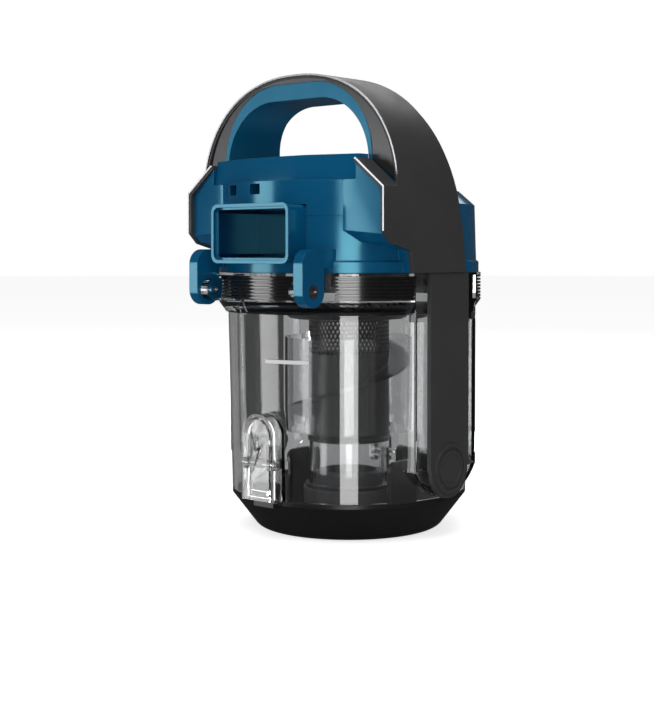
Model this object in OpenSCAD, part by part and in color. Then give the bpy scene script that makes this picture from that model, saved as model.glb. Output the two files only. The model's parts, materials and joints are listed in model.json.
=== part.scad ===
// Removable dust container of a compact bagless canister vacuum cleaner.
// Millimetres. Origin: centre of the closed base flap's underside. +Z up, -Y to the inlet duct
// and the release button, +Y to the base flap's hinge, +X and -X to the arch handle's legs.

/* [Bin] */
// Outside radius of the clear bin at its lower rim
bin_r_low = 72.5; // [72:0.5:73]
// Outside radius of the clear bin under its collar
bin_r_top = 75; // [74.5:0.5:75.5]
// Wall thickness of the clear bin
bin_wall = 2.5; // [2:0.25:2.75]
// Height of the seam between the bin and the head
seam_z = 157; // [156.5:0.5:157.5]
// Outside radius of the ribbed collar ring
collar_r = 81.8; // [81.5:0.1:82]
// Ribs round the collar ring
collar_ribs = 7; // [4:1:8]

/* [Base flap] */
// Height of the base flap, from its flat underside to its rim
lid_h = 24; // [23.5:0.5:24]
// Radius of the flat underside
lid_flat_r = 52; // [50:1:54]
// Radius of the air outlet through the flap's centre
outlet_r = 17; // [15:0.5:17.5]

/* [Cyclone insert] */
// Outside radius of the central shroud
shroud_r = 25; // [24.5:0.25:25.5]
// Holes round the perforated band
hole_columns = 36; // [24:6:36]
// Rows of holes up the perforated band
hole_rows = 7; // [4:1:8]
// Outside radius of the clear guide sleeve
sleeve_r = 40; // [39:0.5:41]

/* [Head] */
// Radius of the head's drum
drum_r = 79; // [78.5:0.25:79.25]
// Height of the head's deck
deck_z = 209; // [208.5:0.5:209.5]
// Width of the inlet duct's mouth, outside
duct_w = 61; // [58:1:62]
// Height of the inlet duct's mouth, outside
duct_h = 33; // [31:1:34]

/* [Handle] */
// Half the width of the arch, outside
arch_r = 79.7; // [79.5:0.1:79.8]
// Height of the arch's shoulders
arch_z = 200; // [199:0.5:201]
// Rise of the arch over its shoulders
arch_h = 75; // [74.5:0.5:76]
// Thickness of the dark handle cover
cover_t = 2.6; // [2.4:0.1:2.8]

/* [Motion pieces] */
// Height of the release button's pivot
button_z = 46; // [45:0.5:47]
// Radius of the base flap's hinge pin
lid_pin_r = 2; // [1.8:0.1:2.2]

/* [Hidden] */
$fn = 96;

// Colours
blue = [0.02, 0.33, 0.49];
dark = [0.22, 0.22, 0.23];
black = [0.07, 0.07, 0.075];
clear = [0.72, 0.74, 0.76, 0.35];
silver = [0.75, 0.75, 0.76];
grey = [0.48, 0.48, 0.49];
white = [0.9, 0.9, 0.88];
steel = [0.62, 0.62, 0.64];

// Running gap between pieces on different bodies, and the radial play of a pin
gap = 0.3;
play = 0.05;
// Gap between pieces that are fixed face to face
face_gap = 0.02;
// A cut runs this far past the faces that it cuts
eps = 1;
// Straight steps in each quarter of an arch
arch_steps = 24;
// The handle's outline is a superellipse of this power: a circle's is 2, and more is squarer
arch_power = 2.25;

bin_z = lid_h + 0.5;
flange_z = 133;
ring_z = 141.5;
ring_top = 155.5;
// The bin's flat side pads, which the dark columns stand on
pad_x = 76;
pad_w = 58;
pad_foot_z = 60;
column_x = 78.6;
column_w = 37;
column_foot_z = 42;
column_foot_r = 17.4;

// Hinge axes, all along X
head_y = -83;
head_z = 147;
lid_y = 80;
lid_z = 33;
button_y = -77.6;
catch_y = 85;
catch_z = 170;

knuckle_x = 33;
ear_x = 39;
ear_t = 7;
ear_r = 9;
ear_top = 171;
head_pin_r = 2;

// Gap between the release button and its pocket's wall
pocket_gap = 0.8;
// The button's torsion spring
coil_r = 1.95;
wire_r = 0.35;

shroud_z = 52.5;
shroud_top = 133;
hole_r = 1.35;
hole_z0 = 106;

arch_front = -49;
cheek_front = -62;
cheek_foot_z = 181;
// Width of the bright lines
trim_w = 1;
head_bottom = seam_z + gap;
opening_z = 222;
plate_z = deck_z + 1.55;
plate_top = 225;

// An annulus along Z
module ring(r_out, r_in, z0, z1) {
  translate([0, 0, z0])
    linear_extrude(z1 - z0)
      difference() {
        circle(r_out);
        circle(r_in);
      }
}

// A rod along X, from x0 to x1, about the axis through y and z
module rod_x(x0, x1, y, z, r) {
  translate([x0, y, z])
    rotate([0, 90, 0])
      cylinder(r = r, h = x1 - x0);
}

// A box from one corner to the other
module block(low, high) {
  translate(low)
    cube(high - low);
}

// The same shape on both sides of the YZ plane
module both_sides() {
  children();
  mirror([1, 0, 0])
    children();
}

// A rectangle with round corners, centred
module round_rect(w, h, r) {
  square([w - 2 * r, h], center = true);
  square([w, h - 2 * r], center = true);
  for (sx = [-1, 1], sy = [-1, 1])
    translate([sx * (w / 2 - r), sy * (h / 2 - r)])
      circle(r, $fn = 32);
}

// A flat shape drawn in X and Z, from y0 to y1
module along_y(y0, y1) {
  translate([0, y1, 0])
    rotate([90, 0, 0])
      linear_extrude(y1 - y0)
        children();
}

// A flat shape drawn in Y and Z, from x0 to x1
module along_x(x0, x1) {
  translate([x0, 0, 0])
    rotate([90, 0, 90])
      linear_extrude(x1 - x0)
        children();
}

// An upside-down U: half width dx + r, shoulders at zc, foot at zb
module arch_2d(r, dx, zc, zb) {
  polygon(concat(
    [[-dx - r, zb], [dx + r, zb]],
    [for (i = [0 : arch_steps]) arc_point(dx, zc, r, 90 * i / arch_steps)],
    [for (i = [0 : arch_steps]) arc_point(-dx, zc, r, 90 + 90 * i / arch_steps)]
  ));
}

function arc_point(x, z, r, a) = [x + r * cos(a), z + r * sin(a)];

// The handle's outer outline, smaller by inset all round, down to height zb
module handle_2d(inset, zb) {
  polygon(concat(
    [[inset - arch_r, zb], [arch_r - inset, zb]],
    [for (i = [0 : 2 * arch_steps]) bow_point(arch_r - inset, arch_h - inset, 90 * i / arch_steps)]
  ));
}

function bow_point(w, h, a) = [
  w * sign(cos(a)) * pow(abs(cos(a)), 2 / arch_power),
  arch_z + h * pow(abs(sin(a)), 2 / arch_power)
];

// ---- bin ----

// The bin's outer body of revolution, grown by g
module bin_outer(g = 0) {
  rotate_extrude()
    polygon([
      [0, bin_z - eps], [bin_r_low + g, bin_z - eps], [bin_r_low + g, bin_z],
      [bin_r_top + g, flange_z], [bin_r_top + 1.5 + g, flange_z],
      [collar_r + g, ring_z - 1], [collar_r + g, seam_z], [0, seam_z]
    ]);
}

// Cuts its children flat on both sides, where the columns and the cover pass
module between_columns(x) {
  intersection() {
    children();
    block([-x, -100, 0], [x, 100, 300]);
  }
}

module bin_shell() color(clear) {
  difference() {
    union() {
      between_columns(pad_x)
        rotate_extrude()
          polygon([
            [0, bin_z], [bin_r_low, bin_z], [bin_r_top, flange_z],
            [bin_r_top + 1.5, flange_z], [collar_r, ring_z - 1], [collar_r, ring_z],
            [77, ring_z], [77, ring_top], [collar_r, ring_top], [collar_r, seam_z], [0, seam_z]
          ]);
      // Flat pads behind the side columns
      both_sides()
        along_x(60, pad_x)
          pad_2d();
      button_pocket();
      // Lugs of the base flap's hinge
      both_sides()
        flap_lug();
      // Knuckles of the head's hinge
      both_sides()
        head_knuckle();
      // Ledge under the head's catch
      block([-11, 76, 148.5], [11, 83.4, 151.5]);
    }
    bin_cavity();
    rod_x(-20, 20, button_y, button_z, 1.55);
    rod_x(-40, 40, lid_y, lid_z, lid_pin_r + play);
    rod_x(-40, 40, head_y, head_z, head_pin_r + play);
  }
}

// A pad's outline, in Y and Z: straight sides on a broad round foot
module pad_2d() {
  translate([-pad_w / 2, pad_foot_z])
    square([pad_w, ring_top - pad_foot_z]);
  intersection() {
    translate([0, pad_foot_z])
      circle(pad_foot_z - bin_z - 1.5);
    translate([-pad_w / 2, bin_z])
      square([pad_w, pad_foot_z - bin_z + eps]);
  }
}

// The pad's outline, smaller by the wall's thickness
module inner_pad_2d() {
  half = pad_w / 2 - bin_wall;
  translate([-half, pad_foot_z])
    square([2 * half, ring_top - pad_foot_z]);
  intersection() {
    translate([0, pad_foot_z])
      circle(pad_foot_z - bin_z - 1.5 - bin_wall);
    translate([-half, bin_z])
      square([2 * half, pad_foot_z - bin_z + eps]);
  }
}

module bin_cavity() {
  // Flat recesses behind the pads
  both_sides()
    along_x(60, pad_x - bin_wall)
      intersection() {
        inner_pad_2d();
        translate([-pad_w / 2, bin_z])
          square([pad_w, 129 - bin_z]);
      }
  rotate_extrude()
    polygon([
      [0, bin_z - eps], [bin_r_low - bin_wall, bin_z - eps], [bin_r_low - bin_wall, bin_z],
      [73, flange_z], [73, seam_z + eps], [0, seam_z + eps]
    ]);
}

// The wall round the release button
module button_pocket() {
  difference() {
    intersection() {
      along_y(-81, -66)
        button_face_2d(-pocket_gap - 2);
      block([-20, -90, bin_z], [20, 0, 100]);
    }
    along_y(-82, -73.4)
      button_face_2d(-pocket_gap);
    block([-10.4 - pocket_gap, -82, bin_z - eps], [10.4 + pocket_gap, -73.4, 30]);
  }
}

module flap_lug() {
  along_x(22, 32) {
    translate([lid_y, lid_z])
      circle(5.5);
    translate([66, lid_z - 4])
      square([lid_y - 66, 9.5]);
    polygon([[66, lid_z + 5], [lid_y, lid_z + 5.4], [70, lid_z + 26]]);
  }
}

module head_knuckle() {
  along_x(knuckle_x, ear_x - gap) {
    translate([head_y, head_z])
      circle(6.5);
    translate([head_y, head_z - 6.5])
      square([14, 13]);
  }
}

// The black ribbed ring round the collar, in two arcs that stop at the side columns
module collar_ring() color(black)
  difference() {
    between_columns(pad_x)
      rotate_extrude()
        polygon(concat(
          [[77.05, ring_top - 0.05], [77.05, ring_z + 0.05]],
          [for (i = [0 : collar_ribs - 1]) each rib_points(i)]
        ));
    // Room for the hinge knuckles and for the pads
    both_sides() {
      block([knuckle_x - 0.4, -90, ring_z - 1], [ear_x + ear_t + 1.4, -60, seam_z]);
      block([60, -pad_w / 2 - 0.1, ring_z - 1], [90, pad_w / 2 + 0.1, seam_z]);
    }
    block([-11.4, 70, ring_z - 1], [11.4, 90, seam_z]);
  }

rib_pitch = (ring_top - ring_z) / collar_ribs;
function rib_points(i) = [
  [79.6, ring_z + 0.05 + rib_pitch * i],
  [79.6, ring_z + rib_pitch * (i + 0.35)],
  [collar_r, ring_z + rib_pitch * (i + 0.4)],
  [collar_r, ring_z + rib_pitch * (i + 0.9)],
  [79.6, ring_z - 0.05 + rib_pitch * (i + 0.98)]
];

// The raised mark at the dust's highest level
module fill_mark() color(white)
  intersection() {
    difference() {
      cylinder(r = 74.95, h = 200);
      bin_outer();
    }
    rotate([0, 0, -90])
      rotate_extrude(angle = 23)
        translate([70, 104.6])
          square([10, 2.2]);
  }

module side_column() {
  difference() {
    along_x(pad_x + face_gap, column_x) {
      translate([-column_w / 2, column_foot_z])
        square([column_w, seam_z - column_foot_z]);
      translate([0, column_foot_z])
        circle(column_foot_r);
    }
    // Seat of the round cap
    rod_x(column_x - 1.4, column_x + eps, 0, column_foot_z, 15.35);
  }
}

module side_column_right() color(dark)
  side_column();

module side_column_left() color(dark)
  mirror([1, 0, 0])
    side_column();

// The round cap on a column's foot: two raised rings about a flat middle
module column_cap() {
  difference() {
    union() {
      rod_x(column_x - 1.4, column_x + 0.4, 0, column_foot_z, 15.3);
      rod_x(column_x, column_x + 1.2, 0, column_foot_z, 14.4);
    }
    difference() {
      rod_x(column_x + 0.3, column_x + 2, 0, column_foot_z, 12.8);
      rod_x(column_x, column_x + 2, 0, column_foot_z, 10.6);
    }
    rod_x(column_x + 0.6, column_x + 2, 0, column_foot_z, 9.2);
  }
}

module column_cap_right() color(dark)
  column_cap();

module column_cap_left() color(dark)
  mirror([1, 0, 0])
    column_cap();

// ---- cyclone insert ----

module shroud() color(black)
  difference() {
    union() {
      ring(shroud_r, shroud_r - 1.6, shroud_z, shroud_top);
      // Rolled lip at the foot
      ring(shroud_r + 0.6, shroud_r - 1.6, shroud_z, shroud_z + 2.5);
    }
    for (row = [0 : hole_rows - 1], i = [0 : hole_columns - 1])
      rotate([0, 0, 360 * (i + (row % 2) / 2) / hole_columns])
        translate([shroud_r - 3, 0, hole_z0 + row * 3.4])
          rotate([0, 90, 0])
            rotate([0, 0, 30])
              cylinder(r = hole_r, h = 6, $fn = 6);
  }

// The skirt that carries the insert from the bin's collar
module shroud_skirt() color(dark)
  difference() {
    rotate_extrude()
      polygon([
        [shroud_r + 0.02, 131], [37, 118], [37, 122], [38.5, 131], [72.9, 133.5],
        [72.9, 136], [shroud_r - 1.6, 136], [shroud_r - 1.6, shroud_top + 0.02],
        [shroud_r + 0.02, shroud_top + 0.02]
      ]);
    // The dirty air's way down from the duct
    block([-27, -64, 100], [27, -46, 150]);
  }

// The vane's foot is a narrow sector, which the twist sweeps up round the shroud
module spiral_vane() color([0.3, 0.3, 0.31, 0.7])
  translate([0, 0, 60])
    linear_extrude(height = 56, twist = -310, slices = 60, $fn = 6)
      rotate([0, 0, 160])
        polygon(concat(
          [for (a = [-5 : 5 : 5]) (sleeve_r - 1.9) * [cos(a), sin(a)]],
          [for (a = [5 : -5 : -5]) (shroud_r + 0.1) * [cos(a), sin(a)]]
        ));

module guide_sleeve() color(clear)
  difference() {
    union() {
      ring(sleeve_r, sleeve_r - 1.6, 59.5, 117);
      // Three ribs that hold the sleeve under the skirt
      for (a = [30, 150, 270])
        rotate([0, 0, a])
          block([36.2, -1, 116], [39, 1, 121.5]);
    }
    // Ribs clear the skirt's slope
    rotate_extrude()
      polygon([[36.9, 117.8], [37.15, 122], [38.65, 131], [30, 131], [30, 120.8]]);
  }

module dust_tube() color(clear)
  union() {
    ring(shroud_r, 22.8, 26, shroud_z);
    ring(shroud_r - 1.65, 21.8, shroud_z, shroud_z + 4);
  }

module button_pin() color(steel)
  rod_x(-13.2, 13.2, button_y, button_z, 1.5);

// The button's torsion spring, coiled on its pin
module button_spring() color(steel)
  union() {
    for (i = [0 : 4])
      translate([-2.2 + 1.1 * i, button_y, button_z])
        rotate([0, 90, 0])
          rotate_extrude($fn = 48)
            translate([coil_r, 0])
              circle(wire_r, $fn = 16);
    // The wire that joins the turns, and the leg that bears on the bin
    rod_x(-2.2, 2.2, button_y + coil_r, button_z, wire_r - 0.03);
    translate([2.2, button_y + coil_r, button_z - 0.2])
      cylinder(r = wire_r - 0.03, h = 9, $fn = 16);
  }

module lid_hinge_pin() color(steel)
  union() {
    rod_x(-31.5, 32.2, lid_y, lid_z, lid_pin_r);
    rod_x(32.02, 33.2, lid_y, lid_z, lid_pin_r + 1);
  }

module collar_gasket() color(black)
  ring(75.4, 73.4, seam_z + 0.02, seam_z + 0.28);

// ---- base flap ----

module base_flap() color([0.11, 0.11, 0.115])
  difference() {
    union() {
      rotate_extrude() {
        difference() {
          union() {
            polygon([
              [0, 0], [lid_flat_r, 0], [59.5, 4.6], [bin_r_low, lid_h - 2.4],
              [bin_r_low, lid_h], [0, lid_h]
            ]);
            // The rounded edge of the underside
            translate([lid_flat_r, 8])
              circle(8);
          }
          polygon([
            [-1, 2.6], [51.5, 2.6], [57.5, 6.6], [69.6, lid_h - 2.4],
            [69.6, lid_h + 1], [-1, lid_h + 1]
          ]);
        }
      }
      // Low ridges round the floor
      ring(47, 45.6, 2.5, 5);
      ring(35, 33.8, 2.5, 4.2);
      // Stiffening ribs from the outlet to the ridge
      for (a = [30 : 60 : 330])
        rotate([0, 0, a])
          block([28.5, -0.8, 2.5], [46, 0.8, 7]);
      // Round-topped fins either side of the outlet
      both_sides()
        along_x(40.8, 43.8) {
          translate([-12.5, 2.5])
            square([25, 35]);
          for (y = [-7, 7])
            translate([y, 37.5])
              circle(5.5);
          translate([-7, 37])
            square([14, 6]);
        }
      flap_barrel();
      // Stand of the latch tab
      block([-8, -76.2, lid_h - 3.6], [8, -69, lid_h]);
    }
    translate([0, 0, -eps])
      cylinder(r = outlet_r, h = 10);
    rod_x(-40, 40, lid_y, lid_z, lid_pin_r + play + 0.03);
    // Seat of the rim seal
    ring(71.6, 69.8, lid_h - 1.2, lid_h + eps);
  }

// The barrel of the flap's hinge, on an arm that rises outside the bin
module flap_barrel() {
  along_x(-21.6, 21.6) {
    translate([lid_y, lid_z])
      circle(5);
    polygon([
      [66, 15.5], [68.5, 15.5], [84.6, 30], [84.6, lid_z], [lid_y - 4.6, lid_z],
      [lid_y - 4.8, 23.5], [70, 23.5]
    ]);
  }
}

module outlet_collar() color(dark)
  rotate_extrude()
    polygon([
      [outlet_r, 2.62], [28.4, 2.62], [28.4, lid_h - 0.4], [21, lid_h - 0.4],
      [20.6, 33], [outlet_r, 34]
    ]);

module outlet_seal() color(black)
  ring(27, 21.2, lid_h - 0.38, 25.8);

module flap_seal() color(black)
  ring(71.5, 69.9, lid_h - 1.18, lid_h + 0.35);

// The tab at the flap's front edge, with the lip that the button's hook holds
module flap_latch() color(dark)
  along_x(-7, 7) {
    translate([-76.2, lid_h + face_gap])
      square([1.8, 10]);
    translate([-76.9, 31])
      square([1.8, 3]);
    translate([-76.2, lid_h + face_gap])
      square([2.5, 1.4]);
  }

// ---- release button ----

module release_button() color(clear)
  difference() {
    union() {
      // The face, with a round top
      along_y(-82.2, -80)
        button_face_2d(0);
      // The rim behind the face
      along_y(-80.1, -78.2)
        difference() {
          button_face_2d(0);
          button_face_2d(1.6);
        }
      // Lugs on the pivot
      both_sides()
        along_x(7.6, 10.4) {
          translate([button_y, button_z])
            circle(3.3);
          translate([-80.5, button_z - 3.3])
            square([2.9, 6.6]);
        }
      // The hook beside the flap's lip
      block([-6.5, -80.5, 28], [6.5, -77.5, 30.3]);
    }
    rod_x(-20, 20, button_y, button_z, 1.55);
    // The finger dimple
    translate([0, -89.4, 58])
      sphere(r = 8.4, $fn = 64);
  }

module button_face_2d(inset) {
  translate([-10.4 + inset, 25 + inset])
    square([2 * (10.4 - inset), 37 - inset]);
  translate([0, 62])
    circle(10.4 - inset);
}

// ---- head ----

// The side outline, in Y and Z, that the cheeks and the arch share; g trims it all round
module side_2d(g = 0) {
  polygon([
    [-36 + g, head_bottom], [-38 + g, 170 + g], [-55.5 + g, 174.5 + g],
    [cheek_front + g, cheek_foot_z + g], [cheek_front + g, 223], [arch_front + g, 223],
    [arch_front + g, 290], [-15 - g, 290], [-14 - g, 281], [-9.4 - g, 251], [-1.5 - g, 225],
    [6 - g, 203], [12 - g, 180], [14 - g, head_bottom]
  ]);
}

// The cheeks' outline, in X and Z, with the chamfers from the arch's feet to the sides
module cheek_2d(g = 0) {
  side = arch_r - g;
  foot = 59.2 - g / 2;
  top = plate_top - 2.5 - g;
  polygon([
    [-side, head_bottom], [side, head_bottom], [side, 206 - g / 2],
    [foot, top], [-foot, top], [-side, 206 - g / 2]
  ]);
}

module head_housing() color(blue)
  difference() {
    union() {
      between_columns(arch_r - cover_t - 0.05)
        rotate_extrude()
          polygon([
            [0, head_bottom], [80.5, head_bottom], [80.5, 163.5], [drum_r, 164.5],
            [drum_r - 1, 198], [68.5, 206.5], [60, deck_z], [0, deck_z]
          ]);
      // The upright front wall
      intersection() {
        cylinder(r = drum_r - 0.5, h = deck_z + 1.5);
        block([-58, -90, 190], [58, -38, deck_z + 1.5]);
      }
      both_sides()
        cheek_pod();
      both_sides()
        head_ear();
      both_sides()
        catch_lug();
    }
    head_cavity();
    // The duct's way in, and down
    block([-duct_w / 2 - 0.1, -90, 163.4], [duct_w / 2 + 0.1, -40, 163.6 + duct_h]);
    // The catch's window, and its pin's bores
    block([-9, 70, 160], [9, 90, 176]);
    rod_x(-11.9, 11.9, catch_y - 3, catch_z, 1.2);
    // Two small square windows under the plate
    for (x = [-28, -5])
      block([x - 4.5, -90, 203], [x + 4.5, -60, 209]);
    // Screw bores in the ears
    both_sides() {
      rod_x(ear_x - 1, ear_x + ear_t + 1, head_y, head_z, head_pin_r + 0.1);
      rod_x(ear_x + ear_t - 1.8, ear_x + ear_t + 1, head_y, head_z, 3.8);
    }
    filter_socket();
    rear_seat();
  }

// The blue body behind a cheek, and the seat under the arch's leg
module cheek_pod() {
  inner_r = arch_r - cover_t - 0.05;
  difference() {
    intersection() {
      along_x(48, inner_r)
        side_2d(0.6);
      along_y(-70, arch_front)
        cheek_2d(cover_t + 0.05);
      // The front face, which leans back towards the side
      translate([0, 0, 150])
        linear_extrude(100)
          polygon([[40, -62.4], [inner_r, -59.2], [inner_r, 0], [40, 0]]);
    }
    // Room for the top plate
    block([40, -80, deck_z + 1.5], [57.9, -40, 240]);
  }
  intersection() {
    along_x(57.05, inner_r)
      side_2d(0.6);
    along_y(arch_front, 12)
      intersection() {
        cheek_2d(cover_t + 0.05);
        handle_2d(cover_t + 0.05, head_bottom);
      }
  }
}

module head_cavity() {
  rotate_extrude()
    polygon([
      [0, head_bottom - eps], [74.8, head_bottom - eps], [74.8, 160],
      [drum_r - 3, 164.5], [drum_r - 3.6, 196.6], [67, 203.8], [60, deck_z - 2.8], [0, deck_z - 2.8]
    ]);
}

module head_ear() {
  along_x(ear_x, ear_x + ear_t) {
    translate([head_y, head_z])
      circle(ear_r);
    translate([head_y - ear_r, head_z])
      square([2 * ear_r, ear_top - ear_r - head_z]);
    // The round shoulder, and the web back to the drum
    translate([head_y, ear_top - ear_r])
      circle(ear_r);
    translate([head_y, head_bottom + 3])
      square([24, ear_top - head_bottom - 3]);
  }
}

// A lug that holds one end of the catch's pin
module catch_lug() {
  along_x(9, 12.4) {
    translate([catch_y - 3, catch_z])
      circle(3.4);
    translate([75, catch_z - 3.4])
      square([catch_y - 78, 6.8]);
  }
}

// Room for the rear cover's frame
module rear_seat() {
  block([-25, 62, 178], [25, 90, 200]);
}

module filter_socket() {
  translate([0, 12, deck_z - 4])
    cylinder(r = 8.1, h = 10);
}

module top_plate() color(blue)
  difference() {
    // The front leans back from its lower edge
    hull() {
      translate([0, 0, plate_z])
        linear_extrude(0.01)
          plate_2d(0);
      translate([0, 0, plate_top - 0.01])
        linear_extrude(0.01)
          plate_2d(2.2);
    }
    // Hollow underneath
    translate([0, 0, deck_z])
      linear_extrude(plate_top - deck_z - 2.6)
        polygon([[-50, -57.5], [-26, -64.5], [26, -64.5], [50, -57.5], [46, -49], [-46, -49]]);
  }

// The plate's outline, with its front edges moved back by lean
module plate_2d(lean) {
  polygon([
    [-57.8, lean - 59.5], [-25, lean - 68.8], [-17, lean - 69.8], [2, lean - 70.6],
    [25, lean - 69.8], [57.8, lean - 59.5], [57.8, -49.8], [44, -44], [-44, -44], [-57.8, -49.8]
  ]);
}

duct_z = 163.5 + duct_h / 2;
duct_front = -88;
module inlet_duct() color(blue)
  difference() {
    union() {
      along_y(duct_front, -50)
        translate([0, duct_z])
          round_rect(duct_w, duct_h, 4);
      // The mouth's outer lip
      along_y(duct_front, duct_front + 2)
        translate([0, duct_z])
          round_rect(duct_w + 1.6, duct_h + 1.6, 4.8);
    }
    // The mouth's wider rebate, which leaves a thin edge
    along_y(duct_front - eps, duct_front + 3)
      translate([0, duct_z])
        round_rect(duct_w - 2.4, duct_h - 2.4, 3.6);
    // The passage, which turns down behind the mouth
    along_y(duct_front - eps, -52.4)
      translate([0, duct_z])
        round_rect(duct_w - 5, duct_h - 5, 2.5);
    block([-27, -64, 160], [27, -52.4, 170]);
  }

// The cover over the rear of the drum, with its step
module rear_cover() color(blue)
  difference() {
    union() {
      block([-24.8, 68, 178.2], [24.8, 76.6, 199.8]);
      // Grip ledge
      along_x(-13, 13)
        polygon([[76, 186], [82, 190], [82, 195], [76, 197]]);
    }
    block([-22.4, 60, 180.5], [22.4, 74, 197.4]);
    for (x = [-18, 18])
      translate([x, 0, 189])
        rotate([-90, 0, 0])
          cylinder(r = 1.6, h = 100, $fn = 32);
  }

module handle_cover() color(dark)
  union() {
    // The skin of the arch and of its legs
    intersection() {
      along_y(arch_front, 20)
        difference() {
          handle_2d(0, head_bottom);
          handle_2d(cover_t, head_bottom - eps);
        }
      along_x(-90, 90)
        side_2d();
    }
    // The cheeks in front of the legs
    for (s = [-1, 1])
      intersection() {
        along_y(cheek_front, arch_front)
          difference() {
            cheek_2d();
            cheek_2d(cover_t);
          }
        along_x(s > 0 ? 57.9 : -90, s > 0 ? 90 : -57.9)
          side_2d();
      }
  }

// The bright line round the arch's front edge
module handle_trim() color(silver)
  along_y(arch_front - 0.6, arch_front - 0.02)
    difference() {
      handle_2d(0, arch_z);
      handle_2d(trim_w, arch_z - eps);
      cheek_2d(-face_gap);
    }

// The bright line along a cheek's front edge
module cheek_trim() {
  along_y(cheek_front - 0.5, cheek_front - 0.02)
    difference() {
      intersection() {
        cheek_2d();
        translate([58, cheek_foot_z])
          square([30, 60]);
      }
      cheek_2d(trim_w);
    }
}

module cheek_trim_right() color(silver)
  cheek_trim();

module cheek_trim_left() color(silver)
  mirror([1, 0, 0])
    cheek_trim();

// The hand's opening, grown by g, and the outline of the lip round it
module opening_2d(g, zb) {
  arch_2d(38 + g, 19, opening_z, zb);
}

module lip_2d(g, zb) {
  arch_2d(44.8 + g, 14.7, opening_z + 3, zb);
}

// The blue grip: a channel under the cover, with a lip round the opening's front edge
module handle_grip() color(blue)
  union() {
    difference() {
      intersection() {
        along_y(grip_front, 20)
          difference() {
            handle_2d(cover_t + 0.05, arch_z);
            opening_2d(0, arch_z - eps);
            cheek_2d(cover_t - face_gap);
          }
        along_x(-90, 90)
          side_2d(0.5);
      }
      intersection() {
        along_y(grip_front + 3, 20)
          difference() {
            handle_2d(0, arch_z - eps);
            opening_2d(3, arch_z - 2 * eps);
          }
        along_x(-90, 90)
          side_2d(3.6);
      }
    }
    along_y(arch_front + 0.4, grip_front)
      difference() {
        lip_2d(0, arch_z);
        opening_2d(0, arch_z - eps);
        cheek_2d(-face_gap);
      }
  }

grip_front = arch_front + 3;

// The grey band on the arch's front face
module handle_bezel() color(grey)
  along_y(arch_front, grip_front - 0.05)
    difference() {
      handle_2d(cover_t + 0.05, arch_z);
      lip_2d(0.05, arch_z - eps);
      cheek_2d(-face_gap);
    }

module filter_frame() color(dark)
  translate([0, 12, 0])
    difference() {
      union() {
        ring(52, 49.5, 176, 200);
        ring(54, 49.5, 176, 178);
        translate([0, 0, 198])
          cylinder(r = 50, h = 2);
        // Cross bars under the pleats
        for (a = [0, 60, 120])
          rotate([0, 0, a])
            block([-50, -1, 176], [50, 1, 178]);
      }
      translate([0, 0, 197])
        for (a = [0 : 60 : 300])
          rotate([0, 0, a])
            translate([30, 0, 0])
              cylinder(r = 12, h = 5);
      translate([0, 0, 197])
        cylinder(r = 4.05, h = 5);
    }

module filter_pleats() color(white)
  translate([0, 12, 0])
    intersection() {
      cylinder(r = 49.3, h = 300);
      translate([0, 50, 0])
        rotate([90, 0, 0])
          linear_extrude(100)
            polygon(concat(
              [for (i = [0 : pleat_n]) [-50 + pleat_pitch * i, i % 2 == 0 ? 178.2 : 196]],
              [for (i = [pleat_n : -1 : 0]) [-50 + pleat_pitch * i, i % 2 == 0 ? 179.6 : 197.4]]
            ));
    }

pleat_n = 40;
pleat_pitch = 100 / pleat_n;

module filter_seal() color(black)
  translate([0, 12, 0])
    ring(54, 52.1, 178.1, 181);

// The knob by which the filter is lifted out through the deck
module filter_knob() color(white)
  translate([0, 12, 0])
    union() {
      translate([0, 0, 197.5])
        cylinder(r = 4, h = 9);
      translate([0, 0, 205.3])
        cylinder(r = 8, h = 3.6);
    }

module hinge_screws() color(steel)
  both_sides()
    difference() {
      union() {
        rod_x(knuckle_x + 2, ear_x + ear_t - 1, head_y, head_z, head_pin_r);
        rod_x(ear_x + ear_t - 1.8, ear_x + ear_t + 0.2, head_y, head_z, 3.7);
      }
      // Cross slot
      for (a = [0, 90])
        translate([ear_x + ear_t - 0.8, head_y, head_z])
          rotate([a, 0, 0])
            block([0, -2.3, -0.45], [3, 2.3, 0.45]);
    }

module rear_screws() color(steel)
  for (x = [-18, 18])
    translate([x, 0, 189])
      rotate([-90, 0, 0])
        difference() {
          union() {
            translate([0, 0, 66])
              cylinder(r = 1.5, h = 11, $fn = 32);
            translate([0, 0, 76.65])
              cylinder(r = 3, h = 1.6, $fn = 32);
          }
          for (a = [0, 90])
            rotate([0, 0, a])
              block([-2, -0.4, 77.4], [2, 0.4, 79]);
        }

module catch_pin() color(steel)
  rod_x(-11.8, 11.8, catch_y - 3, catch_z, 1.2);

// The catch that locks the head to the bin's rear
module head_catch() color(dark)
  difference() {
    along_x(-8.6, 8.6) {
      translate([catch_y - 3, catch_z])
        circle(2.8);
      polygon([
        [84.8, 144.6], [87.4, 146.5], [87.4, 176], [85.6, 178], [83, 172], [82, 169], [83, 167],
        [84.9, 164], [84.9, 148], [84, 147.8], [84, 146.4]
      ]);
    }
    rod_x(-20, 20, catch_y - 3, catch_z, 1.25);
  }

bin_shell();
collar_ring();
fill_mark();
side_column_left();
side_column_right();
column_cap_left();
column_cap_right();
shroud();
shroud_skirt();
spiral_vane();
guide_sleeve();
dust_tube();
button_pin();
button_spring();
lid_hinge_pin();
collar_gasket();
base_flap();
outlet_collar();
outlet_seal();
flap_seal();
flap_latch();
release_button();
head_housing();
top_plate();
inlet_duct();
rear_cover();
handle_cover();
handle_grip();
handle_bezel();
handle_trim();
cheek_trim_left();
cheek_trim_right();
filter_frame();
filter_pleats();
filter_seal();
filter_knob();
hinge_screws();
rear_screws();
catch_pin();
head_catch();
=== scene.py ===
import json
import math

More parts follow.
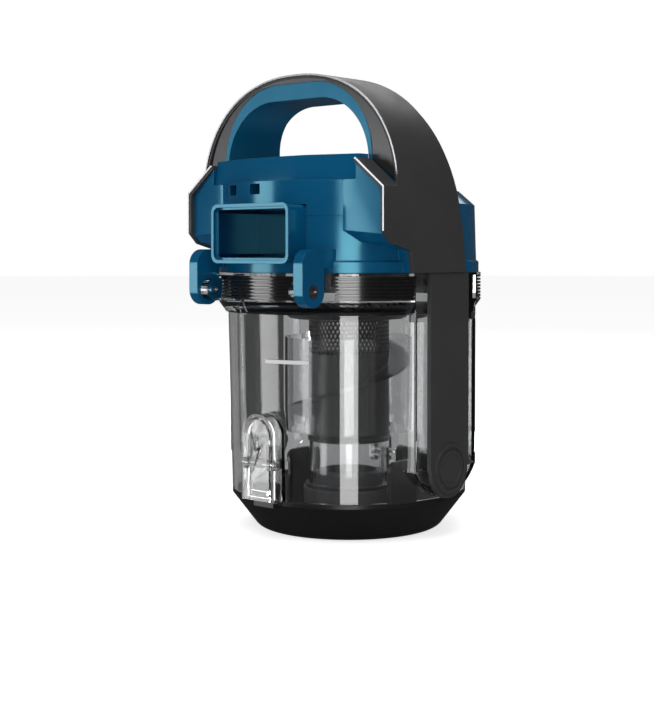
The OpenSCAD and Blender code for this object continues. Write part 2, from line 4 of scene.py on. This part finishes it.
import bmesh
import bpy
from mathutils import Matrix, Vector

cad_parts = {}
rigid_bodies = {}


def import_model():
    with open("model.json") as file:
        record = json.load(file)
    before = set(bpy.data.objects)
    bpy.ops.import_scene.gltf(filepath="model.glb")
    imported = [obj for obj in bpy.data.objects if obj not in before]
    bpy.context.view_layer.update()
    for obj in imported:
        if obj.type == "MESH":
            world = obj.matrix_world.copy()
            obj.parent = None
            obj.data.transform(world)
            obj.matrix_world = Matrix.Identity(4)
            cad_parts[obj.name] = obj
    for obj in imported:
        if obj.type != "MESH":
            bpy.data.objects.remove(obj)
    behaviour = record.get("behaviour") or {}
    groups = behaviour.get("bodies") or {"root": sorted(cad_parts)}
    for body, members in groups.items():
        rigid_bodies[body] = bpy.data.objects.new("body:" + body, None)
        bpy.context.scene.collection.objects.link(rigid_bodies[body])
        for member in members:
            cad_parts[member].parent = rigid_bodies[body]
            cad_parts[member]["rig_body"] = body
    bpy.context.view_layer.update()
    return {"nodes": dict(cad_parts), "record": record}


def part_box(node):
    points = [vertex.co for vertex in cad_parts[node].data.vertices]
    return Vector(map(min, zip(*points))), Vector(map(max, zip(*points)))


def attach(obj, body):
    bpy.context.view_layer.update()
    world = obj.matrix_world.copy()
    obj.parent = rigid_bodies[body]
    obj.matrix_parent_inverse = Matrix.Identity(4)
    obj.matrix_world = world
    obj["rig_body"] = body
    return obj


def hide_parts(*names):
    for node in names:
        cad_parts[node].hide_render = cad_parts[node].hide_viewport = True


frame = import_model()
NODES = frame["nodes"]
SLOT_OF = {part["node"]: part["material_slot"] for part in frame["record"]["subparts"]}

MM = 0.001
# Edges that turn by more than this are bevelled, in radians
SHARP = math.radians(30)
# Straight steps across a bevel
ROUNDED_STEPS = 3
# The front band's face leans back by this much for each unit of reach beyond its inner edge
BAND_LEAN = 0.05
BAND_HUB = 24 * MM
BAND_INNER = 45 * MM
# The widest bevel asked for on each moulding, in millimetres. The modifier's overlap clamp cuts it to
# almost nothing, because their curved outlines have very short edges.
ROUNDED = {"top_plate": 0.6, "release_button": 0.35, "handle_cover": 0.4, "head_housing": 0.4}


# ---- camera and light ----

CAMERA_AZIMUTH = 41
CAMERA_PITCH = 1.3
CAMERA_DISTANCE = 0.85
CAMERA_LENS = 67.8
CAMERA_SENSOR = 36
# A small shift, as a fraction of the frame's larger side
CAMERA_SHIFT = (-0.0304, -0.1086)
LOOK_AT = Vector((0, 0, 0.150))
LAMPS_AIM = Vector((0, 0, 0.14))


def direction(azimuth, elevation=0.0):
    """The unit vector from the object towards a place at that azimuth; 0 is -Y and 90 is +X."""
    a, e = math.radians(azimuth), math.radians(elevation)
    return Vector((math.sin(a) * math.cos(e), -math.cos(a) * math.cos(e), math.sin(e)))


def add_object(name, data):
    piece = bpy.data.objects.new(name, data)
    bpy.context.scene.collection.objects.link(piece)
    return piece


def aim(piece, place, target):
    """Puts a camera or a lamp at place, turned towards target."""
    piece.location = place
    piece.rotation_euler = (target - place).to_track_quat("-Z", "Y").to_euler()


def make_camera():
    data = bpy.data.cameras.new("camera")
    data.sensor_width = CAMERA_SENSOR
    data.lens = CAMERA_LENS
    data.shift_x, data.shift_y = CAMERA_SHIFT
    data.clip_start = 0.01
    camera = add_object("camera", data)
    aim(camera, LOOK_AT + CAMERA_DISTANCE * direction(CAMERA_AZIMUTH, CAMERA_PITCH), LOOK_AT)
    bpy.context.scene.camera = camera


def softbox(name, azimuth, elevation, distance, width, height, power):
    """A rectangular area lamp that faces the object: metres, degrees and watts."""
    data = bpy.data.lights.new(name, "AREA")
    data.shape = "RECTANGLE"
    data.size = width
    data.size_y = height
    data.energy = power
    lamp = add_object(name, data)
    aim(lamp, LAMPS_AIM + distance * direction(azimuth, elevation), LAMPS_AIM)


def make_lights():
    softbox("front_strip", 41, -5, 1.7, 0.50, 0.9, 8.5)
    softbox("left_strip", -39, -5, 1.7, 0.64, 0.9, 7)
    softbox("high_panel", 25, 55, 1.5, 1.3, 0.9, 9)
    softbox("back_panel", 205, 40, 1.6, 1.2, 0.9, 7)


def choose(tree, factor, off, on):
    """The value on where factor is 1 and off where it is 0; off may be a socket."""
    node = tree.nodes.new("ShaderNodeMix")
    tree.links.new(factor, node.inputs[0])
    node.inputs[3].default_value = on
    if isinstance(off, float):
        node.inputs[2].default_value = off
    else:
        tree.links.new(off, node.inputs[2])
    return node.outputs[0]


def make_world():
    """White behind the object, and a dim room in its reflections and through its clear walls."""
    world = bpy.data.worlds.new("studio")
    world.use_nodes = True
    bpy.context.scene.world = world
    tree = world.node_tree
    tree.nodes.clear()
    path = tree.nodes.new("ShaderNodeLightPath")
    room = tree.nodes.new("ShaderNodeBackground")
    room.inputs["Color"].default_value = (1, 1, 1, 1)
    # How bright the room is for diffuse, glossy, transmitted and camera rays, in that order
    strength = choose(tree, path.outputs["Is Glossy Ray"], 0.28, 0.05)
    strength = choose(tree, path.outputs["Is Transmission Ray"], strength, 0.36)
    strength = choose(tree, path.outputs["Is Camera Ray"], strength, 1.0)
    tree.links.new(strength, room.inputs["Strength"])
    output = tree.nodes.new("ShaderNodeOutputWorld")
    tree.links.new(room.outputs[0], output.inputs["Surface"])


FLOOR_RADIUS = 9
FLOOR_DROP = 0.2 * MM
FLOOR_GLOW = 0.72


def make_floor():
    """A pale floor, a little below the base, which glows for the camera only."""
    mesh = bpy.data.meshes.new("floor")
    build = bmesh.new()
    bmesh.ops.create_circle(build, cap_ends=True, segments=96, radius=FLOOR_RADIUS)
    build.to_mesh(mesh)
    build.free()
    floor = add_object("floor", mesh)
    floor.location.z = -FLOOR_DROP
    material, tree, shader = new_material("floor_paper", (0.86, 0.86, 0.865), 0.9)
    path = tree.nodes.new("ShaderNodeLightPath")
    glow = tree.nodes.new("ShaderNodeMath")
    glow.operation = "MULTIPLY"
    glow.inputs[1].default_value = FLOOR_GLOW
    tree.links.new(path.outputs["Is Camera Ray"], glow.inputs[0])
    shader.inputs["Emission Color"].default_value = (1, 1, 1, 1)
    tree.links.new(glow.outputs[0], shader.inputs["Emission Strength"])
    mesh.materials.append(material)
    # The lamps reach below the floor in reflections, as they would round an object in the air
    floor.visible_glossy = False
    floor.visible_transmission = False


# ---- materials ----


def new_material(name, colour, roughness):
    """A Principled material of one colour, with its tree and its shader."""
    material = bpy.data.materials.new(name)
    material.use_nodes = True
    tree = material.node_tree
    tree.nodes.clear()
    shader = tree.nodes.new("ShaderNodeBsdfPrincipled")
    output = tree.nodes.new("ShaderNodeOutputMaterial")
    tree.links.new(shader.outputs[0], output.inputs["Surface"])
    shader.inputs["Base Color"].default_value = (*colour, 1)
    shader.inputs["Roughness"].default_value = roughness
    return material, tree, shader


def noise(tree, scale, detail=2.0, stretch=(1, 1, 1)):
    """A noise that is fixed to the piece. Its scale is in waves a metre."""
    place = tree.nodes.new("ShaderNodeTexCoord")
    mapping = tree.nodes.new("ShaderNodeMapping")
    mapping.inputs["Scale"].default_value = stretch
    texture = tree.nodes.new("ShaderNodeTexNoise")
    texture.inputs["Scale"].default_value = scale
    texture.inputs["Detail"].default_value = detail
    tree.links.new(place.outputs["Object"], mapping.inputs["Vector"])
    tree.links.new(mapping.outputs["Vector"], texture.inputs["Vector"])
    return texture.outputs[0]


def ramp(tree, source, low, high, from_low=0.3, from_high=0.7):
    """source, moved from one range to another."""
    node = tree.nodes.new("ShaderNodeMapRange")
    node.inputs["From Min"].default_value = from_low
    node.inputs["From Max"].default_value = from_high
    node.inputs["To Min"].default_value = low
    node.inputs["To Max"].default_value = high
    tree.links.new(source, node.inputs["Value"])
    return node.outputs[0]


def mix_colour(tree, factor, first, second):
    """A colour between two; each is a colour or a socket."""
    node = tree.nodes.new("ShaderNodeMix")
    node.data_type = "RGBA"
    tree.links.new(factor, node.inputs[0])
    for socket, value in ((node.inputs[6], first), (node.inputs[7], second)):
        if isinstance(value, tuple):
            socket.default_value = (*value, 1)
        else:
            tree.links.new(value, socket)
    return node.outputs[2]


def edge_mask(tree, radius):
    """1 on sharp edges and 0 away from them."""
    bevel = tree.nodes.new("ShaderNodeBevel")
    bevel.samples = 4
    bevel.inputs["Radius"].default_value = radius
    geometry = tree.nodes.new("ShaderNodeNewGeometry")
    dot = tree.nodes.new("ShaderNodeVectorMath")
    dot.operation = "DOT_PRODUCT"
    tree.links.new(bevel.outputs[0], dot.inputs[0])
    tree.links.new(geometry.outputs["Normal"], dot.inputs[1])
    return ramp(tree, dot.outputs["Value"], 1.0, 0.0, 0.75, 0.98)


def add_bump(tree, shader, height, distance, strength=1.0, rounding=0.0):
    """Fine relief. rounding softens the shading of sharp edges over that radius, in metres."""
    bump = tree.nodes.new("ShaderNodeBump")
    if rounding:
        bevel = tree.nodes.new("ShaderNodeBevel")
        bevel.samples = 4
        bevel.inputs["Radius"].default_value = rounding
        tree.links.new(bevel.outputs[0], bump.inputs["Normal"])
    bump.inputs["Strength"].default_value = strength
    bump.inputs["Distance"].default_value = distance
    tree.links.new(height, bump.inputs["Height"])
    tree.links.new(bump.outputs[0], shader.inputs["Normal"])


def moulded(name, colour, roughness, grain=0.35, depth=0.004, wear=0.25, vary=0.06, shine=None):
    """A moulded plastic. grain is the size of its texture and depth its height, in millimetres.
    wear lightens its edges, and vary is how far its colour drifts over the piece.
    shine is the colour of its highlights, where they aren't white."""
    material, tree, shader = new_material(name, colour, roughness)
    if shine:
        shader.inputs["Specular IOR Level"].default_value = 1.0
        shader.inputs["Specular Tint"].default_value = (*shine, 1)
    drift = noise(tree, 22, 3)
    dark = tuple(c * (1 - vary) for c in colour)
    light = tuple(min(1, c * (1 + vary) + 0.002) for c in colour)
    base = mix_colour(tree, ramp(tree, drift, 0, 1), dark, light)
    if wear:
        worn = tuple(c + (1 - c) * wear * 0.16 for c in colour)
        patches = ramp(tree, noise(tree, 160, 3), 0.35, 1.0)
        mask = tree.nodes.new("ShaderNodeMath")
        mask.operation = "MULTIPLY"
        tree.links.new(edge_mask(tree, 0.0005), mask.inputs[0])
        tree.links.new(patches, mask.inputs[1])
        base = mix_colour(tree, mask.outputs[0], base, worn)
    tree.links.new(base, shader.inputs["Base Color"])
    spread = ramp(tree, noise(tree, 60, 3), roughness * 0.9, roughness * 1.12)
    tree.links.new(spread, shader.inputs["Roughness"])
    add_bump(tree, shader, noise(tree, 1000 / grain, 2), depth * MM, rounding=0.35 * MM)
    return material


def clear(name, tint, roughness, wave=0.03):
    """Clear moulded plastic. Lamps shine through it, so what it holds is lit."""
    material, tree, shader = new_material(name, tint, roughness)
    shader.inputs["Transmission Weight"].default_value = 1.0
    shader.inputs["IOR"].default_value = 1.49
    # Faint flow waves of the moulding, and fine scuffs
    add_bump(tree, shader, noise(tree, 45, 2, (1, 1, 0.35)), wave * MM)
    scuffs = ramp(tree, noise(tree, 420, 4, (1, 1, 0.2)), roughness, roughness + 0.05, 0.45, 0.8)
    tree.links.new(scuffs, shader.inputs["Roughness"])
    path = tree.nodes.new("ShaderNodeLightPath")
    open_to_lamps = tree.nodes.new("ShaderNodeBsdfTransparent")
    open_to_lamps.inputs["Color"].default_value = tuple(c * 0.92 for c in tint) + (1,)
    mix = tree.nodes.new("ShaderNodeMixShader")
    output = next(n for n in tree.nodes if n.type == "OUTPUT_MATERIAL")
    tree.links.new(path.outputs["Is Shadow Ray"], mix.inputs[0])
    tree.links.new(shader.outputs[0], mix.inputs[1])
    tree.links.new(open_to_lamps.outputs[0], mix.inputs[2])
    tree.links.new(mix.outputs[0], output.inputs["Surface"])
    return material


def satin_metal(name, colour, roughness, streak=0.12):
    """Plated or painted metal, with fine streaks along its length."""
    material, tree, shader = new_material(name, colour, roughness)
    shader.inputs["Metallic"].default_value = 1.0
    streaks = noise(tree, 500, 3, (1, 1, 6))
    dark = tuple(c * (1 - streak) for c in colour)
    light = tuple(min(1, c * (1 + streak)) for c in colour)
    tone = mix_colour(tree, ramp(tree, streaks, 0, 1), dark, light)
    tree.links.new(tone, shader.inputs["Base Color"])
    tree.links.new(ramp(tree, streaks, roughness * 0.85, roughness * 1.2), shader.inputs["Roughness"])
    add_bump(tree, shader, noise(tree, 900, 2), 0.0008 * MM)
    return material


def zinc_steel():
    material, tree, shader = new_material("zinc_steel", (0.40, 0.40, 0.39), 0.34)
    shader.inputs["Metallic"].default_value = 1.0
    spangle = mix_colour(tree, ramp(tree, noise(tree, 700, 3), 0, 1), (0.32, 0.32, 0.31), (0.48, 0.47, 0.46))
    tree.links.new(spangle, shader.inputs["Base Color"])
    tree.links.new(ramp(tree, noise(tree, 1500, 2), 0.26, 0.42), shader.inputs["Roughness"])
    add_bump(tree, shader, noise(tree, 2200, 2), 0.004 * MM)
    return material


def fleece():
    """Pressed filter paper, with short crossed fibres."""
    material, tree, shader = new_material("filter_fleece", (0.86, 0.86, 0.83), 0.95)
    fibres = noise(tree, 900, 5, (1, 3.5, 1))
    tone = mix_colour(tree, ramp(tree, fibres, 0, 1), (0.72, 0.72, 0.69), (0.9, 0.9, 0.87))
    tree.links.new(tone, shader.inputs["Base Color"])
    add_bump(tree, shader, fibres, 0.06 * MM)
    return material


BLUE = (0.0015, 0.088, 0.205)
# Painted shade: a darker blue laid inside the duct's passage, where little light comes
DUCT_SHADE_BLUE = (0.001, 0.012, 0.055)
BLUE_SHINE = (0.3, 0.85, 1.0)
DUCT_WALL = 3.2 * MM
WHITE_SHINE = (1.0, 1.0, 1.0)


def duct_plastic_painted_shade():
    """The blue of the head, with a darker blue painted inside the duct's passage as painted shade, where
    little light comes.
    """
    material = moulded("duct_plastic_painted_shade", BLUE, 0.15, 0.5, 0.004, shine=BLUE_SHINE)
    tree = material.node_tree
    shader = next(n for n in tree.nodes if n.type == "BSDF_PRINCIPLED")
    low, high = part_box("inlet_duct")
    centre = tuple(-(low[i] + high[i]) / 2 for i in range(3))
    place = tree.nodes.new("ShaderNodeTexCoord")
    offset = tree.nodes.new("ShaderNodeVectorMath")
    offset.inputs[1].default_value = centre
    size = tree.nodes.new("ShaderNodeVectorMath")
    size.operation = "ABSOLUTE"
    axes = tree.nodes.new("ShaderNodeSeparateXYZ")
    tree.links.new(place.outputs["Object"], offset.inputs[0])
    tree.links.new(offset.outputs[0], size.inputs[0])
    tree.links.new(size.outputs[0], axes.inputs[0])
    # A mask of the passage's inner faces, where the painted shade goes
    duct_shade_mask = None
    for axis in (0, 2):
        edge = (high[axis] - low[axis]) / 2 - DUCT_WALL
        within = ramp(tree, axes.outputs[axis], 1, 0, edge - 0.2 * MM, edge + 0.2 * MM)
        if duct_shade_mask:
            both = tree.nodes.new("ShaderNodeMath")
            both.operation = "MULTIPLY"
            tree.links.new(duct_shade_mask, both.inputs[0])
            tree.links.new(within, both.inputs[1])
            duct_shade_mask = both.outputs[0]
        else:
            duct_shade_mask = within
    outer = shader.inputs["Base Color"].links[0].from_socket
    # Painted shade: the passage's inner faces take the darker blue in place of the head's blue
    painted_shade = mix_colour(tree, duct_shade_mask, outer, DUCT_SHADE_BLUE)
    tree.links.new(painted_shade, shader.inputs["Base Color"])
    return material


def make_materials():
    """The material of each of the record's slots."""
    return {
        "blue_plastic": moulded(
            "blue_plastic", BLUE, 0.15, 0.5, 0.004, shine=BLUE_SHINE),
        "dark_plastic": moulded("dark_plastic", (0.050, 0.050, 0.052), 0.50, 0.35, 0.02),
        "black_plastic": moulded("black_plastic", (0.010, 0.010, 0.0105), 0.36, 0.4, 0.010),
        "grey_plastic": satin_metal("grey_plastic", (0.13, 0.13, 0.134), 0.36),
        "white_plastic": moulded("white_plastic", (0.80, 0.80, 0.78), 0.45, 0.4, 0.01),
        "white_print": moulded("white_print", (0.82, 0.82, 0.82), 0.5, 0.3, 0.006, wear=0),
        "black_rubber": moulded("black_rubber", (0.010, 0.010, 0.010), 0.42, 0.6, 0.02),
        "clear_plastic": clear("clear_plastic", (0.90, 0.905, 0.91), 0.015),
        "smoke_plastic": clear("smoke_plastic", (0.42, 0.42, 0.425), 0.12),
        "bright_trim": satin_metal("bright_trim", (0.40, 0.40, 0.41), 0.28, 0.06),
        "steel": zinc_steel(),
        "filter_fleece": fleece(),
    }


def make_special_materials():
    """Materials of single nodes, where they differ from the rest of their slot."""
    return {
        "inlet_duct": duct_plastic_painted_shade(),
        "handle_grip": moulded(
            "grip_plastic", (0.001, 0.115, 0.245), 0.36, 0.5, 0.006, shine=BLUE_SHINE),
        "collar_ring": moulded(
            "gloss_black", (0.008, 0.008, 0.0085), 0.12, 0.5, 0.002, 0.15, shine=WHITE_SHINE),
    }


# ---- pieces ----


def outfit(piece, body, slot, materials):
    """Gives a piece its body and its slot's material."""
    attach(piece, body)
    piece.data.materials.clear()
    piece.data.materials.append(materials[slot])


def smooth(piece, angle=32):
    """Smooth shading, but for edges sharper than angle."""
    stored = piece.data.attributes.get("custom_normal")
    if stored:
        piece.data.attributes.remove(stored)
    build = bmesh.new()
    build.from_mesh(piece.data)
    limit = math.radians(angle)
    for face in build.faces:
        face.smooth = True
    for edge in build.edges:
        edge.smooth = len(edge.link_faces) == 2 and edge.calc_face_angle(0) < limit
    build.to_mesh(piece.data)
    build.free()


def rounded_copy(node, radius, materials):
    """Stands for a CAD node with a copy of its mesh, with a clamped bevel on its sharp edges.
    radius is the widest it may be, in millimetres."""
    mesh = NODES[node].data.copy()
    piece = add_object(node + "_moulding", mesh)
    build = bmesh.new()
    build.from_mesh(mesh)
    bmesh.ops.remove_doubles(build, verts=build.verts, dist=0.001 * MM)
    bmesh.ops.dissolve_limit(
        build, angle_limit=math.radians(0.5), verts=build.verts, edges=build.edges)
    build.normal_update()
    weight = build.edges.layers.float.new("bevel_weight_edge")
    for edge in build.edges:
        if len(edge.link_faces) == 2 and edge.calc_face_angle(0) > SHARP:
            edge[weight] = 1.0
    build.to_mesh(mesh)
    build.free()
    bevel = piece.modifiers.new("edges", "BEVEL")
    bevel.limit_method = "WEIGHT"
    bevel.width = radius * MM
    bevel.segments = ROUNDED_STEPS
    smooth(piece)
    outfit(piece, NODES[node]["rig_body"], SLOT_OF[node], materials)
    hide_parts(node)
    return piece


def round_edges(materials):
    """Bevels the main mouldings as far as the clamp allows. Their soft edges come from shading."""
    for node, radius in ROUNDED.items():
        rounded_copy(node, radius, materials)


def tilted_bezel(materials):
    """The handle's front band, whose face leans back towards the handle's outer edge."""
    low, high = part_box("handle_bezel")
    piece = add_object("handle_band", NODES["handle_bezel"].data.copy())
    hub_z = low[2] + BAND_HUB
    build = bmesh.new()
    build.from_mesh(piece.data)
    bmesh.ops.remove_doubles(build, verts=build.verts, dist=0.001 * MM)
    bmesh.ops.dissolve_limit(
        build, angle_limit=math.radians(0.2), verts=build.verts, edges=build.edges)
    bmesh.ops.triangulate(build, faces=build.faces, ngon_method="BEAUTY")
    for vertex in build.verts:
        if vertex.co.y < low[1] + 0.1 * MM:
            reach = math.hypot(vertex.co.x, vertex.co.z - hub_z) - BAND_INNER
            vertex.co.y += min(BAND_LEAN * max(0, reach), 0.85 * (high[1] - low[1]))
    build.to_mesh(piece.data)
    build.free()
    smooth(piece)
    outfit(piece, NODES["handle_bezel"]["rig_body"], SLOT_OF["handle_bezel"], materials)
    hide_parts("handle_bezel")


def lathe(build, profile, steps):
    """Turns a closed profile of (radius, height) round the Z axis."""
    rings = []
    for step in range(steps):
        angle = 2 * math.pi * step / steps
        rings.append([
            build.verts.new((r * math.cos(angle), r * math.sin(angle), z)) for r, z in profile])
    for step in range(steps):
        here, there = rings[step], rings[(step + 1) % steps]
        for i in range(len(profile)):
            j = (i + 1) % len(profile)
            build.faces.new((here[i], there[i], there[j], here[j]))


SKIRT_STEPS = 128


def open_skirt(materials):
    """The skirt round the shroud's head: a shallow closed dish, with the rows of holes below it."""
    _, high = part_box("shroud_skirt")
    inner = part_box("shroud")[1][0] - SHROUD_LIP + 0.05 * MM
    outer = high[0]
    top = high[2]
    profile = [
        (inner, top - 6.5 * MM), (inner + 3 * MM, top - 7.2 * MM), (inner + 11 * MM, top - 7.8 * MM),
        (inner + 12.4 * MM, top - 7.4 * MM), (inner + 14 * MM, top - 5.2 * MM),
        (outer - 0.5 * MM, top - 2.8 * MM), (outer, top - 2.2 * MM), (outer, top - 0.4 * MM),
        (outer - 0.4 * MM, top), (inner, top),
    ]
    build = bmesh.new()
    lathe(build, profile, SKIRT_STEPS)
    bmesh.ops.recalc_face_normals(build, faces=build.faces)
    mesh = bpy.data.meshes.new("skirt_dish")
    build.to_mesh(mesh)
    build.free()
    piece = add_object("skirt_dish", mesh)
    smooth(piece)
    outfit(piece, NODES["shroud_skirt"]["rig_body"], SLOT_OF["shroud_skirt"], materials)
    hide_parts("shroud_skirt")


HOLE_ROWS = 10
HOLE_COLUMNS = 53
LIP_HEIGHT = 2.1 * MM
HOLE_WEB = 0.8 * MM
SHROUD_WALL = 1.5 * MM
SHROUD_LIP = 0.6 * MM


def hexagon(across, height, radius):
    """The corners of an upright hexagon, as distance round the wall and height."""
    corners = []
    for corner in range(6):
        angle = math.radians(30 + 60 * corner)
        corners.append((across + radius * math.cos(angle), height + radius * math.sin(angle)))
    return corners


def lattice_shroud(materials):
    """The shroud round the cyclone's core: a wall with rows of six-sided holes at its head."""
    low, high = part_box("shroud")
    wall = high[0] - SHROUD_LIP
    pitch = 2 * math.pi * wall / HOLE_COLUMNS
    cell = pitch / math.sqrt(3)
    hole = (pitch - HOLE_WEB) / math.sqrt(3)
    top_row = high[2] - 0.5 * MM - cell
    low_row = top_row - 1.5 * cell * (HOLE_ROWS - 1)
    build = bmesh.new()

    def vertex(across, height, out=0.0):
        angle = across / wall
        return build.verts.new(((wall + out) * math.cos(angle), (wall + out) * math.sin(angle), height))

    def band(rows):
        """Quads between rows of points, each a list of (across, height, out)."""
        for lower, upper in zip(rows, rows[1:]):
            for i in range(len(lower) - 1):
                corners = (lower[i], lower[i + 1], upper[i + 1], upper[i])
                build.faces.new([vertex(*corner) for corner in corners])

    for row in range(HOLE_ROWS):
        height = low_row + 1.5 * cell * row
        for column in range(HOLE_COLUMNS):
            across = pitch * (column + (row % 2) / 2)
            outer, inner = hexagon(across, height, cell), hexagon(across, height, hole)
            for i in range(6):
                j = (i + 1) % 6
                build.faces.new([vertex(*p) for p in (outer[i], outer[j], inner[j], inner[i])])

    def zigzag(row, side):
        """The edge of a row of cells, above (1) or below (-1)."""
        height = low_row + 1.5 * cell * row
        points = []
        for step in range(2 * HOLE_COLUMNS + 1):
            reach = cell if step % 2 else cell / 2
            across = pitch * (step - 1 + row % 2) / 2
            points.append((across, height + side * reach, 0.0))
        return points

    def level(points, height, out=0.0):
        return [(across, height, out) for across, _, _ in points]

    foot = zigzag(0, -1)
    band([level(foot, low[2], SHROUD_LIP), level(foot, low[2] + LIP_HEIGHT, SHROUD_LIP),
          level(foot, low[2] + LIP_HEIGHT + 0.3 * MM, SHROUD_LIP * 0.5),
          level(foot, low[2] + LIP_HEIGHT + 0.5 * MM), foot])
    head = zigzag(HOLE_ROWS - 1, 1)
    band([head, level(head, high[2])])
    bmesh.ops.remove_doubles(build, verts=build.verts, dist=0.01 * MM)
    bmesh.ops.recalc_face_normals(build, faces=build.faces)
    mesh = bpy.data.meshes.new("shroud_lattice")
    build.to_mesh(mesh)
    build.free()
    piece = add_object("shroud_lattice", mesh)
    thicken = piece.modifiers.new("wall", "SOLIDIFY")
    thicken.thickness = SHROUD_WALL
    thicken.offset = -1
    outfit(piece, NODES["shroud"]["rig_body"], SLOT_OF["shroud"], materials)
    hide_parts("shroud")


def dress_nodes(materials, special):
    """Gives each CAD node its slot's material, or its own."""
    for name, piece in NODES.items():
        piece.data.materials.clear()
        piece.data.materials.append(special.get(name, materials[SLOT_OF[name]]))


bpy.context.scene.view_settings.view_transform = "Standard"
make_camera()
make_lights()
make_world()
make_floor()
MATERIALS = make_materials()
dress_nodes(MATERIALS, make_special_materials())
round_edges(MATERIALS)
tilted_bezel(MATERIALS)
open_skirt(MATERIALS)
lattice_shroud(MATERIALS)
